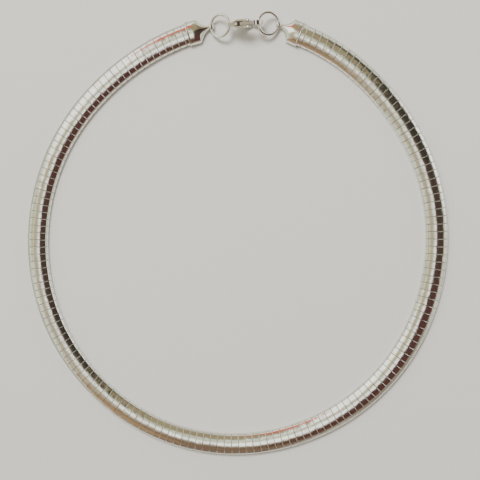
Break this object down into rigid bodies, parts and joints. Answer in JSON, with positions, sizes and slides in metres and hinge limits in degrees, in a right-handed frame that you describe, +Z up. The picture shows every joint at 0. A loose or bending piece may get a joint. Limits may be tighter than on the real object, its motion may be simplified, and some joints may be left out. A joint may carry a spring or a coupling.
{
  "type": "omega necklace",
  "caption": "Omega necklace: a round, springy loop of domed metal plates on a flat woven mesh, with folded end caps, jump rings and a lobster clasp.",
  "frame": {"origin": "on the table, under the middle of the necklace's outline", "axes": "+Z up from the table; +Y from the origin towards the clasp, along the loop's longer way; +X to the right seen from above with the clasp at the top"},
  "size_m": [0.1502, 0.1576, 0.0071],
  "materials": {
    "polished_plates": "mirror-polished silver-coloured metal, rolled and domed, fine scratches",
    "woven_mesh": "fine woven wire, pressed flat, satin",
    "polished_caps": "polished sheet, folded, burnished at its edges",
    "polished_findings": "polished cast and drawn metal, lightly worn"
  },
  "bodies": {
    "necklace": {"plates": "polished_plates", "mesh_core": "woven_mesh", "left_cap": "polished_caps", "right_cap": "polished_caps", "left_ring": "polished_findings", "right_ring": "polished_findings", "clasp_body": "polished_findings", "lever_pin": "polished_findings"},
    "lever": {"clasp_lever": "polished_findings"}
  },
  "joints": [
    {"name": "lever_swing", "type": "hinge", "parent": "necklace", "child": "lever", "pos_m": [-0.0009, 0.07374, 0.00467], "axis": [-0.1016, 0.9729, 0.2079], "range_deg": [0, 25], "stiffness_Nm_per_rad": 0.0055, "springref_deg": -17.19}
  ]
}
